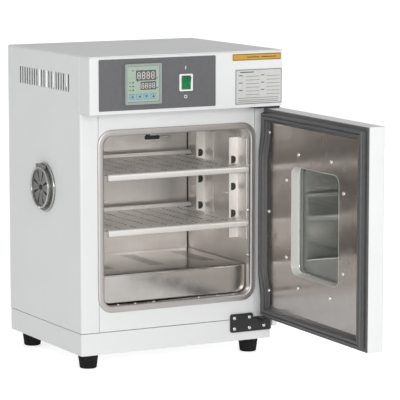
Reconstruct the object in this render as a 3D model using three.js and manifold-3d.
// Bench-top laboratory incubator, natural-convection type, modelled with its door open.
// Units are millimetres. +Z is up, +X is to the right as seen from the front, and the front faces -Y.
// While it is being built, x = 0 is the middle of the cabinet, y = 0 is its front plate and
// z = 0 is the surface it stands on. The last lines move the origin under the middle of the box
// that holds the whole object, open door included.

import * as THREE from 'three';
import { mergeVertices } from 'three/addons/utils/BufferGeometryUtils.js';
import Module from 'manifold-3d';

const wasm = await Module();
wasm.setup();

// ---------------------------------------------------------------- driving dimensions
const GAP = 0.3;                    // clearance between pieces that touch on the real object
const SHEET = 1.5;                  // painted steel sheet
const LINER_SHEET = 1;              // stainless chamber sheet

const WIDTH = 388;
const DEPTH = 310;
const FOOT_HEIGHT = 28;
const PLINTH_TOP = 67.5;
const BODY_BOTTOM = 68.5;           // the seam above the plinth is 1 mm wide
const HEIGHT = 565;
const HEADER_BOTTOM = 463;
const HEADER_DEPTH = 40;            // how far the control box stands out, the same as the door
const COLUMN_WIDTH = 35;            // painted strip on each side of the front plate
const CORNER_RADIUS = 4;            // rounded vertical edges of the casing

const CHAMBER = { halfWidth: 149, bottom: 114.5, top: 419.5, depth: 242, radius: 17 };
const RING_WIDTH = 12;              // rolled flange round the chamber mouth

const PANEL = { left: -177, right: 55, bottom: 469, top: 559.5 };
const CONTROLLER = { x: -91.5, z: 514.5, size: 72, body: 66, bodyDepth: 62 };
const DISPLAY_UPPER = { left: -106, right: -67, bottom: 521, top: 538.5 };
const DISPLAY_LOWER = { left: -97, right: -67, bottom: 504.5, top: 518.5 };
const KEYS = { count: 4, left: -119, right: -67, z: 492.5, width: 10.5, height: 9 };
const SWITCH = { x: -5.7, z: 513.5, width: 26.8, height: 30.4, tilt: 11 };
const RATING_PLATE = { left: 95.5, right: 192, bottom: 468.6, top: 532 };
const CAUTION_LABEL = { left: 90, right: 190, bottom: 547.8, top: 560 };

const STANDARD = { bottom: 214, top: 400, wallLeg: 34, frontLeg: 19, sheet: 1.2, y: [10.5, 137.5] };
const SHELF_LEVELS = [250, 300, 350];          // undersides of the half-round slots
const SHELVES = { upper: 350, lower: 250 };
const SHELF = { front: 2, rear: 222, halfWidth: 147, halfWidthInside: 126.5, lip: 9.5, sheet: 1.2 };
const GUARD = { halfWidth: 146.5, front: 15, rear: 240, top: 168, bottom: 117, sheet: 1.2 };
const HEATER = { z: 138, halfWidth: 110, front: 45, rear: 205, radius: 4, runs: 4 };

const VENT = { y: 150, z: 316, radius: 45, bossRadius: 40, slots: 8, slotHalfAngle: 0.08 };
const SIDE_SLOTS = { count: 21, first: 48, last: 255, bottom: 497, top: 530, width: 6.4 };

const DOOR = { left: -187, right: 191, bottom: 71.3, top: 458.5, front: -40, inner: -9.3, open: 88 };
const PIN = { x: 185.5, y: -27, radius: 3 };
const GASKET = {
  left: -186, right: 190, bottom: 72.3, top: 457.5,
  band: 24, flap: 6.3, flapFace: -5, face: -0.3,
};
const WINDOW = { x: 0, z: 266, width: 175, height: 200, radius: 18 };
const HANDLE = { x: -125, z: 262, length: 120, reach: 24 };

const left = -WIDTH / 2;
const right = WIDTH / 2;

// ---------------------------------------------------------------- materials
const finish = (color, roughness, metalness = 0, extra = {}) =>
  new THREE.MeshStandardMaterial({ color, roughness, metalness, ...extra });

const WHITE_PAINT = finish(0xeceef0, 0.4);
const STAINLESS = finish(0xc4c2be, 0.25, 1);
const PLATED = finish(0xd2d2d2, 0.2, 1);
const BLACK_STEEL = finish(0x1b1b1c, 0.5, 0.3);
const PANEL_GREY = finish(0x6c6e70, 0.5);
const BEZEL_GREY = finish(0xa9adad, 0.5);
const FACE_GREEN = finish(0xc4d6c8, 0.4);
const DISPLAY_DARK = finish(0x2c302e, 0.2);
const KEY_BLUE = finish(0x9fc3cb, 0.5);
const SWITCH_WHITE = finish(0xe8e8e4, 0.4);
const ROCKER_GREEN = finish(0x14884c, 0.25);
const LABEL_SILVER = finish(0xd4d5d3, 0.4, 0.6);
const LABEL_YELLOW = finish(0xe6b02c, 0.5);
const GASKET_GREY = finish(0x55575b, 0.7);
const RUBBER = finish(0x161616, 0.8);
const BLACK_PLASTIC = finish(0x202022, 0.5);
const CAST_METAL = finish(0x8c8c89, 0.45, 0.8);
const GLASS = finish(0xcfe0da, 0.05, 0, { transparent: true, opacity: 0.35 });
const WOOL = finish(0xd9cf9a, 0.95);

// ---------------------------------------------------------------- solids
function solidOf(geometry) {
  const bare = geometry.index ? geometry.toNonIndexed() : geometry.clone();
  for (const name of Object.keys(bare.attributes)) {
    if (name !== 'position') bare.deleteAttribute(name);
  }
  const merged = mergeVertices(bare, 1e-4);
  return new wasm.Manifold(new wasm.Mesh({
    numProp: 3,
    vertProperties: new Float32Array(merged.attributes.position.array),
    triVerts: new Uint32Array(merged.index.array),
  }));
}

function geometryOf(solid) {
  const { vertProperties, triVerts, numProp } = solid.getMesh();
  const positions = new Float32Array(triVerts.length * 3);
  triVerts.forEach((vertex, i) => {
    for (let k = 0; k < 3; k++) positions[3 * i + k] = vertProperties[vertex * numProp + k];
  });
  const geometry = new THREE.BufferGeometry();
  geometry.setAttribute('position', new THREE.BufferAttribute(positions, 3));
  geometry.computeVertexNormals();
  return geometry;
}

const join = (...solids) => solids.reduce((whole, piece) => whole.add(piece));
const cut = (solid, ...tools) => tools.reduce((whole, tool) => whole.subtract(tool), solid);

function block([x0, x1], [y0, y1], [z0, z1]) {
  const geometry = new THREE.BoxGeometry(x1 - x0, y1 - y0, z1 - z0);
  return solidOf(geometry.translate((x0 + x1) / 2, (y0 + y1) / 2, (z0 + z1) / 2));
}

// A flat outline pushed along one axis, from low to high. The outline's two coordinates are
// (y, z) for axis x, (x, z) for axis y and (x, y) for axis z.
function prism(shape, axis, low, high, curveSegments = 3) {
  const depth = high - low;
  const geometry = new THREE.ExtrudeGeometry(shape, { depth, bevelEnabled: false, curveSegments });
  const basis = {
    x: [[0, 1, 0], [0, 0, 1], [1, 0, 0]],
    y: [[1, 0, 0], [0, 0, 1], [0, -1, 0]],
    z: [[1, 0, 0], [0, 1, 0], [0, 0, 1]],
  }[axis].map((v) => new THREE.Vector3(...v));
  geometry.applyMatrix4(new THREE.Matrix4().makeBasis(...basis));
  const start = { x: [low, 0, 0], y: [0, high, 0], z: [0, 0, low] }[axis];
  return solidOf(geometry.translate(...start));
}

// A profile of [radius, height] points turned about an axis through centre, height along the axis.
function turned(profile, axis, centre, segments = 32) {
  const points = profile.map(([radius, height]) => new THREE.Vector2(radius, height));
  const geometry = new THREE.LatheGeometry(points, segments);
  const turn = { x: [0, 0, -Math.PI / 2], y: [0, 0, 0], z: [Math.PI / 2, 0, 0] }[axis];
  geometry.rotateX(turn[0]).rotateZ(turn[2]);
  return solidOf(geometry.translate(...centre));
}

const disc = (axis, centre, radius, low, high, segments = 24) =>
  turned([[0, low], [radius, low], [radius, high], [0, high]], axis, centre, segments);

function roundedRect(x0, x1, y0, y1, radius) {
  const shape = new THREE.Shape();
  shape.moveTo(x0 + radius, y0);
  shape.absarc(x1 - radius, y0 + radius, radius, -Math.PI / 2, 0, false);
  shape.absarc(x1 - radius, y1 - radius, radius, 0, Math.PI / 2, false);
  shape.absarc(x0 + radius, y1 - radius, radius, Math.PI / 2, Math.PI, false);
  shape.absarc(x0 + radius, y0 + radius, radius, Math.PI, 1.5 * Math.PI, false);
  return shape;
}

const polygon = (points) => new THREE.Shape(points.map(([x, y]) => new THREE.Vector2(x, y)));

// Outline of a folded sheet: a line of corner points given on one face of the sheet, its bends
// rounded, and the other face offset by the sheet's thickness to the left of the line's direction.
function foldedSheet(corners, thickness, bendRadius, steps = 6) {
  const points = corners.map(([x, y]) => new THREE.Vector2(x, y));
  const face = [points[0].clone()];
  const other = [];
  const leftOf = (direction) => new THREE.Vector2(-direction.y, direction.x);
  const heading = (i) => points[i + 1].clone().sub(points[i]).normalize();
  other.push(points[0].clone().addScaledVector(leftOf(heading(0)), thickness));
  for (let i = 1; i < points.length - 1; i++) {
    const before = heading(i - 1);
    const after = heading(i);
    const side = Math.sign(before.x * after.y - before.y * after.x);
    const radius = side > 0 ? bendRadius : bendRadius - thickness;
    const half = Math.acos(THREE.MathUtils.clamp(before.dot(after), -1, 1)) / 2;
    const start = points[i].clone().addScaledVector(before, -radius * Math.tan(half));
    const centre = start.clone().addScaledVector(leftOf(before), side * radius);
    for (let step = 0; step <= steps; step++) {
      const turn = side * 2 * half * step / steps;
      const spoke = start.clone().sub(centre).rotateAround(new THREE.Vector2(), turn);
      face.push(centre.clone().add(spoke));
      other.push(centre.clone().add(spoke.setLength(radius - side * thickness)));
    }
  }
  const last = heading(points.length - 2);
  face.push(points.at(-1).clone());
  other.push(points.at(-1).clone().addScaledVector(leftOf(last), thickness));
  return new THREE.Shape([...face, ...other.reverse()]);
}

// ---------------------------------------------------------------- scene
const incubator = new THREE.Group();
const cabinet = new THREE.Group();
incubator.add(cabinet);

function piece(name, solid, material, parent = cabinet) {
  const mesh = new THREE.Mesh(geometryOf(solid), material);
  mesh.name = name;
  parent.add(mesh);
  return mesh;
}

// ---------------------------------------------------------------- casing
const casingBack = DEPTH - SHEET - GAP;        // rear edge of the side panels
const casingTop = HEIGHT - SHEET - GAP;        // upper edge of the side panels

function sidePanel(mirror) {
  const at = (x, y) => [mirror * x, y];
  const columnEdge = right - COLUMN_WIDTH + GAP;
  const path = [at(right, casingBack), at(right, 0), at(columnEdge, 0)];
  const outline = foldedSheet(mirror > 0 ? path.reverse() : path, SHEET, CORNER_RADIUS);
  const panel = prism(outline, 'z', BODY_BOTTOM, casingTop);
  const headerZone = block(
    mirror > 0 ? [0, right - SHEET] : [left + SHEET, 0], [-1, 20], [HEADER_BOTTOM - GAP, HEIGHT]);
  return cut(panel, headerZone);
}

const slotPitch = (SIDE_SLOTS.last - SIDE_SLOTS.first) / (SIDE_SLOTS.count - 1);
const ventSlots = Array.from({ length: SIDE_SLOTS.count }, (_, i) => {
  const y = SIDE_SLOTS.first + i * slotPitch;
  const half = SIDE_SLOTS.width / 2;
  return prism(roundedRect(y - half, y + half, SIDE_SLOTS.bottom, SIDE_SLOTS.top, half - 0.01),
    'x', left - 1, left + SHEET + 1, 1);
});
const ventHole = disc('x', [left, VENT.y, VENT.z], VENT.bossRadius - 3, -2, 4, 28);
piece('side_panel_left', cut(sidePanel(-1), ...ventSlots, ventHole), WHITE_PAINT);
piece('side_panel_right', sidePanel(1), WHITE_PAINT);

const topCover = join(
  prism(roundedRect(left, right, -HEADER_DEPTH, DEPTH, CORNER_RADIUS), 'z', HEIGHT - SHEET, HEIGHT),
  block([left + 4, left + 5.5], [20, DEPTH - 6], [HEIGHT - 14, HEIGHT - 1]),
  block([right - 5.5, right - 4], [20, DEPTH - 6], [HEIGHT - 14, HEIGHT - 1]));
piece('top_cover', topCover, WHITE_PAINT);

const INLET = { x: 120, z: 500, width: 27.5, height: 20 };
const FUSE = { x: 80, z: 500, radius: 6.5 };
const rearSlots = Array.from({ length: 9 }, (_, i) => {
  const x = -130 + 14 * i;
  return prism(roundedRect(x - 1.8, x + 1.8, 480, 520, 1.79), 'y', DEPTH - 4, DEPTH + 2, 1);
});
const rearPanel = cut(
  block([left, right], [DEPTH - SHEET, DEPTH], [BODY_BOTTOM, casingTop]),
  block([INLET.x - INLET.width / 2, INLET.x + INLET.width / 2], [DEPTH - 5, DEPTH + 5],
    [INLET.z - INLET.height / 2, INLET.z + INLET.height / 2]),
  disc('y', [FUSE.x, DEPTH, FUSE.z], FUSE.radius, -5, 5, 16),
  ...rearSlots);
piece('rear_panel', rearPanel, WHITE_PAINT);

const inletBody = join(
  prism(roundedRect(INLET.x - 24, INLET.x + 24, INLET.z - 14, INLET.z + 14, 4),
    'y', DEPTH + GAP, DEPTH + 4, 1),
  block([INLET.x - 13.4, INLET.x + 13.4], [DEPTH - 22, DEPTH + 2], [INLET.z - 9.7, INLET.z + 9.7]));
const inletRecess = block(
  [INLET.x - 11.6, INLET.x + 11.6], [DEPTH - 15, DEPTH + 6], [INLET.z - 7.8, INLET.z + 7.8]);
piece('power_inlet', cut(inletBody, inletRecess), BLACK_PLASTIC);
piece('fuse_holder', turned([[0, -26], [6.2, -26], [6.2, GAP], [8.5, GAP], [8.5, 3], [6, 9], [0, 9]],
  'y', [FUSE.x, DEPTH, FUSE.z], 14), BLACK_PLASTIC);

const plinthWalls = cut(
  prism(roundedRect(left, right, 0, DEPTH, CORNER_RADIUS), 'z', FOOT_HEIGHT, PLINTH_TOP),
  block([left + SHEET, right - SHEET], [SHEET, DEPTH - SHEET], [FOOT_HEIGHT + SHEET, PLINTH_TOP + 1]));
piece('plinth', plinthWalls, WHITE_PAINT);

const footInset = { x: 29, y: 34 };
const footProfile = [[0, 0], [14.8, 0], [16, 1.2], [19.4, FOOT_HEIGHT - GAP], [0, FOOT_HEIGHT - GAP]];
for (const [side, x] of [['left', left + footInset.x], ['right', right - footInset.x]]) {
  for (const [end, y] of [['front', footInset.y], ['rear', DEPTH - footInset.y]]) {
    piece(`foot_${end}_${side}`, turned(footProfile, 'z', [x, y, 0], 20), RUBBER);
  }
}

const ring = {
  halfWidth: CHAMBER.halfWidth + RING_WIDTH,
  bottom: CHAMBER.bottom - RING_WIDTH,
  top: CHAMBER.top + RING_WIDTH,
  radius: CHAMBER.radius + RING_WIDTH - 2,
};
const mouth = (grow) => roundedRect(-CHAMBER.halfWidth - grow, CHAMBER.halfWidth + grow,
  CHAMBER.bottom - grow, CHAMBER.top + grow, CHAMBER.radius + grow);

const plateEdge = right - COLUMN_WIDTH - 0.5;
const frontPlate = cut(
  block([-plateEdge, plateEdge], [0, SHEET], [BODY_BOTTOM, HEADER_BOTTOM - GAP]),
  prism(mouth(LINER_SHEET + 0.4), 'y', -2, 4, 4));
piece('front_plate', frontPlate, WHITE_PAINT);

// ---------------------------------------------------------------- control box
const around = ({ x, z }, width, height) =>
  block([x - width / 2, x + width / 2], [-HEADER_DEPTH - 3, -HEADER_DEPTH + 6],
    [z - height / 2, z + height / 2]);
const header = cut(
  prism(roundedRect(left, right, -HEADER_DEPTH, 20, CORNER_RADIUS), 'z', HEADER_BOTTOM, casingTop),
  block([left - 1, right + 1], [-GAP, 30], [0, HEIGHT]),
  block([left + SHEET, right - SHEET], [-HEADER_DEPTH + SHEET, 5], [HEADER_BOTTOM + SHEET, HEIGHT]),
  around(CONTROLLER, CONTROLLER.body + 1, CONTROLLER.body + 1),
  around(SWITCH, 24, 27.6));
piece('header_box', header, WHITE_PAINT);

const panelFace = -HEADER_DEPTH - 1.2;
const panel = cut(
  prism(roundedRect(PANEL.left, PANEL.right, PANEL.bottom, PANEL.top, 1.5),
    'y', panelFace, -HEADER_DEPTH - GAP, 1),
  around(CONTROLLER, CONTROLLER.body + 1, CONTROLLER.body + 1),
  around(SWITCH, 24, 27.6));
piece('control_panel', panel, PANEL_GREY);

const half = CONTROLLER.size / 2;
const bezelFront = panelFace - 4.5;
const housing = cut(
  join(
    prism(roundedRect(CONTROLLER.x - half, CONTROLLER.x + half,
      CONTROLLER.z - half, CONTROLLER.z + half, 2.5), 'y', bezelFront, panelFace - GAP, 2),
    around({ x: CONTROLLER.x, z: CONTROLLER.z }, CONTROLLER.body, CONTROLLER.body)
      .intersect(block([-200, 0], [panelFace - 1, 0], [400, 600])),
    block([CONTROLLER.x - CONTROLLER.body / 2, CONTROLLER.x + CONTROLLER.body / 2],
      [-HEADER_DEPTH, -HEADER_DEPTH + CONTROLLER.bodyDepth],
      [CONTROLLER.z - CONTROLLER.body / 2, CONTROLLER.z + CONTROLLER.body / 2])),
  block([CONTROLLER.x - half + 4.5, CONTROLLER.x + half - 4.5], [bezelFront - 1, panelFace + 1],
    [CONTROLLER.z - half + 4.5, CONTROLLER.z + half - 4.5]));
piece('controller_housing', housing, BEZEL_GREY);

const faceFront = bezelFront + 0.8;
const faceBack = faceFront + 1.2;
const keyPitch = (KEYS.right - KEYS.left - KEYS.width) / (KEYS.count - 1);
const keyCentres = Array.from({ length: KEYS.count }, (_, i) => KEYS.left + KEYS.width / 2 + i * keyPitch);
const keyBlock = (x, grow, front, back) => block(
  [x - KEYS.width / 2 - grow, x + KEYS.width / 2 + grow], [front, back],
  [KEYS.z - KEYS.height / 2 - grow, KEYS.z + KEYS.height / 2 + grow]);
const displayBlock = ({ left: x0, right: x1, bottom, top }, grow, front, back) =>
  block([x0 - grow, x1 + grow], [front, back], [bottom - grow, top + grow]);
const face = cut(
  block([CONTROLLER.x - half + 4.8, CONTROLLER.x + half - 4.8], [faceFront, faceBack],
    [CONTROLLER.z - half + 4.8, CONTROLLER.z + half - 4.8]),
  displayBlock(DISPLAY_UPPER, GAP, faceFront - 1, faceBack + 1),
  displayBlock(DISPLAY_LOWER, GAP, faceFront - 1, faceBack + 1),
  ...keyCentres.map((x) => keyBlock(x, GAP, faceFront - 1, faceBack + 1)));
piece('controller_face', face, FACE_GREEN);
piece('display_upper', displayBlock(DISPLAY_UPPER, 0, faceFront + 0.3, faceBack + 1), DISPLAY_DARK);
piece('display_lower', displayBlock(DISPLAY_LOWER, 0, faceFront + 0.3, faceBack + 1), DISPLAY_DARK);
keyCentres.forEach((x, i) =>
  piece(`key_${i + 1}`, keyBlock(x, 0, faceFront - 0.8, faceBack + 0.6), KEY_BLUE));

const switchFront = panelFace - 2.2;
const switchOpening = { width: 19, height: 24.8 };
const switchHousing = cut(
  join(
    prism(roundedRect(SWITCH.x - SWITCH.width / 2, SWITCH.x + SWITCH.width / 2,
      SWITCH.z - SWITCH.height / 2, SWITCH.z + SWITCH.height / 2, 2), 'y', switchFront, panelFace - GAP, 2),
    block([SWITCH.x - 11.7, SWITCH.x + 11.7], [panelFace - 1, -HEADER_DEPTH + 22],
      [SWITCH.z - 13.5, SWITCH.z + 13.5])),
  block([SWITCH.x - switchOpening.width / 2, SWITCH.x + switchOpening.width / 2],
    [switchFront - 1, -HEADER_DEPTH + 14],
    [SWITCH.z - switchOpening.height / 2, SWITCH.z + switchOpening.height / 2]));
piece('switch_housing', switchHousing, SWITCH_WHITE);

// The rocker turns about a pivot just behind the panel and rests with its upper half standing out.
const rockerPivot = new THREE.Group();
rockerPivot.position.set(SWITCH.x, -HEADER_DEPTH + 1, SWITCH.z);
rockerPivot.rotation.x = THREE.MathUtils.degToRad(SWITCH.tilt);
cabinet.add(rockerPivot);
const rockerOutline = polygon([[5, -6], [7, 0], [5, 6], [-1, 10.9], [-6.6, 10.9], [-4.4, 0],
  [-6.6, -10.9], [-1, -10.9]]);
piece('power_rocker', prism(rockerOutline, 'x', -9.1, 9.1), ROCKER_GREEN, rockerPivot);

piece('rating_plate', block(
  [RATING_PLATE.left, RATING_PLATE.right], [-HEADER_DEPTH - 0.9, -HEADER_DEPTH - GAP],
  [RATING_PLATE.bottom, RATING_PLATE.top]), LABEL_SILVER);
piece('caution_label', block(
  [CAUTION_LABEL.left, CAUTION_LABEL.right], [-HEADER_DEPTH - 0.6, -HEADER_DEPTH - GAP],
  [CAUTION_LABEL.bottom, CAUTION_LABEL.top]), LABEL_YELLOW);
piece('power_relay', block([20, 65], [60, 118], [475, 510]), BLACK_PLASTIC);

// ---------------------------------------------------------------- chamber
const chamberBack = CHAMBER.depth;
const liner = cut(
  prism(mouth(LINER_SHEET), 'y', -GAP, chamberBack + LINER_SHEET, 4),
  prism(mouth(0), 'y', -3, chamberBack, 4));
piece('chamber_liner', liner, STAINLESS);

const ringOuter = roundedRect(-ring.halfWidth, ring.halfWidth, ring.bottom, ring.top, ring.radius);
const ringCrown = roundedRect(-ring.halfWidth + 2.5, ring.halfWidth - 2.5, ring.bottom + 2.5, ring.top - 2.5,
  ring.radius - 2.5);
piece('opening_flange', cut(
  join(prism(ringOuter, 'y', -1.8, -2 * GAP, 4), prism(ringCrown, 'y', -2.7, -1, 4)),
  prism(mouth(0), 'y', -5, 2, 4)), STAINLESS);

piece('insulation_jacket', cut(
  block([left + 2.2, right - 2.2], [6, chamberBack + 0.6], [70, 461]),
  prism(mouth(LINER_SHEET + 1), 'y', 0, chamberBack + 5, 2),
  disc('x', [left, VENT.y, VENT.z], VENT.bossRadius, -10, 45, 20)), WOOL);
piece('insulation_rear',
  block([left + 2.2, right - 2.2], [chamberBack + 1.6, casingBack - 1.5], [70, 461]), WOOL);

// Shelf standards: angle strips on the side walls. The leg on the wall faces the chamber, and the
// leg that stands out at its rear edge has a half-round slot and a tongue at each shelf level.
function shelfStandard(mirror, frontEdge) {
  const { wallLeg, frontLeg, sheet, bottom, top } = STANDARD;
  const wall = CHAMBER.halfWidth - GAP;
  const bend = frontEdge + wallLeg;
  const at = (x, y) => [mirror * x, y];
  const path = [at(wall, frontEdge), at(wall, bend), at(wall - frontLeg, bend)];
  const outline = foldedSheet(mirror > 0 ? path : [...path].reverse(), sheet, 2, 3);
  const strip = prism(outline, 'z', bottom, top);
  const inner = wall - frontLeg;
  const slots = SHELF_LEVELS.map((level) => {
    const slot = new THREE.Shape();
    slot.moveTo(mirror * (inner + 4), level + 1.5);
    slot.lineTo(mirror * (inner + 9), level + 1.5);
    const centre = level + 8.5;
    for (let step = 0; step <= 6; step++) {
      const angle = -Math.PI / 2 + Math.PI * step / 6;
      slot.lineTo(mirror * (inner + 9 + 5.5 * Math.cos(angle)), centre + 7 * Math.sin(angle));
    }
    slot.lineTo(mirror * (inner + 4), centre + 7);
    return prism(slot, 'y', bend - 4, bend + 4);
  });
  const tongues = SHELF_LEVELS.map((level) => {
    const xs = [mirror * (inner - 9), mirror * (inner + 2)].sort((a, b) => a - b);
    return block(xs, [bend - sheet, bend + 8], [level - 3, level - 1.7]);
  });
  return join(cut(strip, ...slots), ...tongues);
}
STANDARD.y.forEach((frontEdge, i) => {
  const place = i === 0 ? 'front' : 'rear';
  piece(`shelf_standard_${place}_left`, shelfStandard(-1, frontEdge), STAINLESS);
  piece(`shelf_standard_${place}_right`, shelfStandard(1, frontEdge), STAINLESS);
});

// Shelves: one sheet with a front lip folded down and a rear lip turned up. The sides are cut back
// between the lips so that the shelf slides forward past the standards until its rear lip meets them.
function shelf(level) {
  const { front, rear, halfWidth, halfWidthInside, lip, sheet } = SHELF;
  const upper = level - 1.4 + sheet;
  const profile = foldedSheet(
    [[rear, upper + lip], [rear, upper], [front, upper], [front, upper - lip]], sheet, 3, 5);
  const folded = prism(profile, 'x', -halfWidth, halfWidth);
  const sideCut = (x0, x1) => block([x0, x1], [40, rear - 6], [upper - 15, upper + 15]);
  return cut(folded, sideCut(-halfWidth - 1, -halfWidthInside), sideCut(halfWidthInside, halfWidth + 1));
}
piece('shelf_upper', shelf(SHELVES.upper), STAINLESS);
piece('shelf_lower', shelf(SHELVES.lower), STAINLESS);

// Heater guard: a cover over the element, its front face rounded to fit the chamber's lower corners.
const guardProfile = foldedSheet(
  [[GUARD.front, GUARD.bottom], [GUARD.front, GUARD.top], [GUARD.rear, GUARD.top]], -GUARD.sheet, 4, 5);
const guardFront = roundedRect(
  -GUARD.halfWidth, GUARD.halfWidth, GUARD.bottom, GUARD.top + 40, CHAMBER.radius - 1);
piece('heater_guard', prism(guardProfile, 'x', -GUARD.halfWidth, GUARD.halfWidth)
  .intersect(prism(guardFront, 'y', 0, DEPTH, 3)), STAINLESS);

// Heating element: one steel tube led to and fro under the guard, both ends at the rear.
function heaterPath() {
  const { halfWidth, front, rear, z, runs } = HEATER;
  const pitch = 2 * halfWidth / (runs - 1);
  const bend = pitch / 2;
  const path = new THREE.CurvePath();
  const point = (x, y) => new THREE.Vector3(x, y, z);
  for (let run = 0; run < runs; run++) {
    const x = -halfWidth + run * pitch;
    const forward = run % 2 === 0;
    const start = run === 0 ? chamberBack - 2 : (forward ? rear - bend : front + bend);
    const end = run === runs - 1 ? chamberBack - 2 : (forward ? front + bend : rear - bend);
    path.add(new THREE.LineCurve3(point(x, start), point(x, end)));
    if (run === runs - 1) break;
    const turn = forward ? -1 : 1;
    const steps = 6;
    for (let step = 0; step < steps; step++) {
      const at = (k) => {
        const angle = Math.PI * k / steps;
        return point(x + bend - bend * Math.cos(angle), end + turn * bend * Math.sin(angle));
      };
      path.add(new THREE.LineCurve3(at(step), at(step + 1)));
    }
  }
  return path;
}
const tubeSides = 6;
const tubeSection = polygon(Array.from({ length: tubeSides }, (_, i) => {
  const angle = 2 * Math.PI * i / tubeSides;
  return [HEATER.radius * Math.cos(angle), HEATER.radius * Math.sin(angle)];
}));
const heaterGeometry = new THREE.ExtrudeGeometry(tubeSection, { steps: 60, extrudePath: heaterPath() });
piece('heater_element', solidOf(heaterGeometry), STAINLESS);

// Temperature sensor: a steel probe in a black sleeve, lying across the chamber under its ceiling.
const SENSOR = { x: -40, y: 50, z: CHAMBER.top - 12 };
piece('sensor_sleeve', join(
  turned([[0, 0], [3.6, 0], [3.6, 26], [2.9, 28], [0, 28]], 'x', [SENSOR.x, SENSOR.y, SENSOR.z], 16),
  block([SENSOR.x + 2, SENSOR.x + 9], [SENSOR.y - 3, SENSOR.y + 3],
    [SENSOR.z, CHAMBER.top - GAP])), BLACK_PLASTIC);
piece('sensor_probe', turned([[0, 0], [2.4, 0], [2.4, 17], [1.4, 18.6], [0, 18.6]], 'x',
  [SENSOR.x + 28 + GAP, SENSOR.y, SENSOR.z], 16), PLATED);

// ---------------------------------------------------------------- air vent
const fanSlot = (inner, outer, halfAngle, at) => {
  const shape = new THREE.Shape();
  const corner = (radius, angle) => [VENT.y + radius * Math.cos(angle), VENT.z + radius * Math.sin(angle)];
  shape.moveTo(...corner(inner, at - halfAngle * 0.7));
  for (let step = 0; step <= 2; step++) shape.lineTo(...corner(outer, at + halfAngle * (step - 1)));
  shape.lineTo(...corner(inner, at + halfAngle * 0.7));
  return shape;
};
const fan = (low, high) => Array.from({ length: VENT.slots }, (_, i) =>
  prism(fanSlot(11, 31, VENT.slotHalfAngle, (i + 0.5) * 2 * Math.PI / VENT.slots), 'x', low, high));
const ventCentre = [left, VENT.y, VENT.z];
const ventBase = cut(
  turned([[0, -3], [VENT.bossRadius - 4, -3], [VENT.bossRadius - 4, GAP], [VENT.radius, GAP],
    [VENT.radius, 2], [VENT.radius - 1.5, 3.2], [VENT.bossRadius, 3.2], [VENT.bossRadius, 5], [0, 5]],
    'x', [0, 0, 0], 32).mirror([1, 0, 0]).translate(ventCentre),
  ...fan(left - 8, left + 6),
  disc('x', ventCentre, 3.3, -8, 6, 12));
piece('vent_base', ventBase, CAST_METAL);

const damperBack = left - 5.4;
const damperFront = left - 9;
const damper = cut(
  join(
    disc('x', [0, VENT.y, VENT.z], 38, damperFront, damperBack, 32),
    cut(disc('x', [0, VENT.y, VENT.z], 38, left - 11, damperBack, 32),
      disc('x', [0, VENT.y, VENT.z], 34.5, left - 12, damperBack + 1, 32)),
    block([left - 11, damperBack], [VENT.y - 16, VENT.y + 16], [VENT.z + 31, VENT.z + 42])),
  ...fan(left - 15, left - 2),
  disc('x', [0, VENT.y, VENT.z], 3.3, left - 15, left, 12));
piece('vent_damper', damper, CAST_METAL);
piece('vent_screw', turned([[0, -4], [3, -4], [3, 9.3], [5, 9.3], [5, 10.4], [4, 11.2], [0, 11.2]],
  'x', [0, 0, 0], 12).mirror([1, 0, 0]).translate(ventCentre), PLATED);

// ---------------------------------------------------------------- hinges on the cabinet
const bracketFront = -3 - GAP;
const bottomBracket = join(
  prism(roundedRect(107.5, 155, 44, 78.2, 4), 'y', bracketFront, -GAP, 2),
  prism(roundedRect(150, 193, 44, 70.4, 3), 'y', bracketFront, -GAP, 2),
  prism(roundedRect(160, 193.5, PIN.y - 9, -2, 6), 'z', DOOR.bottom - 3.9, DOOR.bottom - 0.9, 2));
const pinHole = (low, high) => disc('z', [PIN.x, PIN.y, 0], PIN.radius + GAP, low, high, 16);
piece('hinge_bracket_bottom', cut(bottomBracket, pinHole(50, 90)), BLACK_STEEL);
piece('hinge_pin_bottom', turned([[0, 56], [5, 56], [5, DOOR.bottom - 4.2], [PIN.radius, DOOR.bottom - 4.2],
  [PIN.radius, 84], [0, 85.5]], 'z', [0, 0, 0], 16).translate([PIN.x, PIN.y, 0]), PLATED);
const topBracket = prism(roundedRect(140, 193.5, PIN.y - 9, -2, 6),
  'z', DOOR.top + 0.9, HEADER_BOTTOM - GAP, 2);
piece('hinge_bracket_top', cut(topBracket, pinHole(450, 470)), BLACK_STEEL);
const topPin = [[0, 446], [PIN.radius, 447.5], [PIN.radius, HEADER_BOTTOM - GAP], [0, HEADER_BOTTOM - GAP]];
piece('hinge_pin_top', turned(topPin, 'z', [0, 0, 0], 16).translate([PIN.x, PIN.y, 0]), PLATED);

// ---------------------------------------------------------------- door
// The door is drawn shut and turned open about its pins.
const doorPivot = new THREE.Group();
doorPivot.position.set(PIN.x, PIN.y, 0);
doorPivot.rotation.z = THREE.MathUtils.degToRad(DOOR.open);
const door = new THREE.Group();
door.position.set(-PIN.x, -PIN.y, 0);
doorPivot.add(door);
incubator.add(doorPivot);

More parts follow.
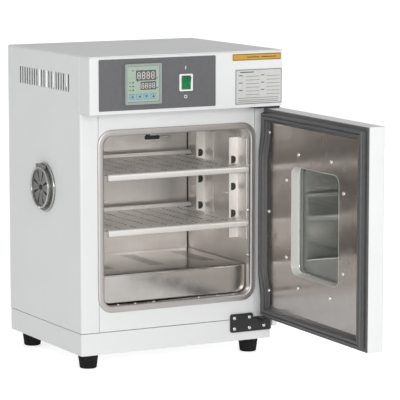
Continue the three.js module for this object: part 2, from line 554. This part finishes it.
const windowOutline = (grow) => roundedRect(
  WINDOW.x - WINDOW.width / 2 - grow, WINDOW.x + WINDOW.width / 2 + grow,
  WINDOW.z - WINDOW.height / 2 - grow, WINDOW.z + WINDOW.height / 2 + grow, WINDOW.radius + grow);
const returnLip = 14;
const skin = cut(
  prism(roundedRect(DOOR.left, DOOR.right, DOOR.front, DOOR.inner + CORNER_RADIUS, CORNER_RADIUS),
    'z', DOOR.bottom, DOOR.top),
  block([DOOR.left - 1, DOOR.right + 1], [DOOR.inner, 0], [0, HEIGHT]),
  block([DOOR.left + SHEET, DOOR.right - SHEET], [DOOR.front + SHEET, DOOR.inner - SHEET],
    [DOOR.bottom + SHEET, DOOR.top - SHEET]),
  block([DOOR.left + returnLip, DOOR.right - returnLip], [DOOR.inner - 4, 0],
    [DOOR.bottom + returnLip, DOOR.top - returnLip]),
  prism(windowOutline(-4), 'y', DOOR.front - 2, DOOR.front + 4, 3),
  pinHole(60, 90), pinHole(445, 470));
piece('door_skin', skin, WHITE_PAINT, door);

const gasketOutline = (inset, radius) => roundedRect(GASKET.left + inset, GASKET.right - inset,
  GASKET.bottom + inset, GASKET.top - inset, radius);
const innerPanel = cut(
  prism(gasketOutline(9, 3), 'y', DOOR.inner + GAP, DOOR.inner + GAP + LINER_SHEET, 1),
  prism(windowOutline(-1), 'y', DOOR.inner - 4, 0, 3));
piece('door_inner_panel', innerPanel, STAINLESS, door);

const gasket = cut(
  join(
    prism(gasketOutline(0, 4), 'y', DOOR.inner + GAP, GASKET.flapFace, 1),
    prism(gasketOutline(GASKET.flap, 3), 'y', DOOR.inner + GAP, GASKET.face, 1)),
  prism(gasketOutline(8, 3), 'y', DOOR.inner - 1, DOOR.inner + 2 * GAP + LINER_SHEET, 1),
  prism(gasketOutline(GASKET.band, 3), 'y', DOOR.inner - 1, 2, 1));
piece('door_gasket', gasket, GASKET_GREY, door);

piece('window_sleeve', cut(
  prism(windowOutline(-1.4), 'y', DOOR.inner - 20, DOOR.inner + GAP + LINER_SHEET, 3),
  prism(windowOutline(-2.4), 'y', DOOR.inner - 22, 2, 3)), STAINLESS, door);
piece('window_glass_inner',
  prism(windowOutline(-2.8), 'y', DOOR.inner - 19, DOOR.inner - 15, 3), GLASS, door);
piece('window_seal', cut(
  prism(windowOutline(6), 'y', DOOR.front + SHEET + GAP, DOOR.inner - 20.4, 3),
  prism(windowOutline(-6), 'y', DOOR.front - 2, 0, 3),
  prism(windowOutline(2), 'y', DOOR.front + SHEET + 2, DOOR.front + SHEET + 6.4, 3)), RUBBER, door);
piece('window_glass_outer',
  prism(windowOutline(1.6), 'y', DOOR.front + SHEET + 2.2, DOOR.front + SHEET + 6.2, 3), GLASS, door);

piece('door_insulation', cut(
  block([DOOR.left + 3, PIN.x - PIN.radius - 3], [DOOR.front + 2.2, DOOR.inner - 2],
    [DOOR.bottom + 3, DOOR.top - 3]),
  prism(windowOutline(7.5), 'y', DOOR.front - 2, 0, 2)), WOOL, door);

const handlePost = (z) => block(
  [HANDLE.x - 7, HANDLE.x + 7], [DOOR.front - HANDLE.reach + 8, DOOR.front - GAP], [z - 9, z + 9]);
const gripFront = DOOR.front - HANDLE.reach;
const handleBar = prism(roundedRect(HANDLE.x - 9, HANDLE.x + 9, gripFront, gripFront + 12, 5),
  'z', HANDLE.z - HANDLE.length / 2, HANDLE.z + HANDLE.length / 2, 2);
piece('door_handle', join(handleBar,
  handlePost(HANDLE.z - HANDLE.length / 2 + 12),
  handlePost(HANDLE.z + HANDLE.length / 2 - 12)), BLACK_PLASTIC, door);

// ---------------------------------------------------------------- origin
incubator.updateMatrixWorld(true);
const extent = new THREE.Box3().setFromObject(incubator, true);
const middle = extent.getCenter(new THREE.Vector3());
incubator.position.set(-middle.x, -middle.y, 0);
incubator.updateMatrixWorld(true);

export default incubator;
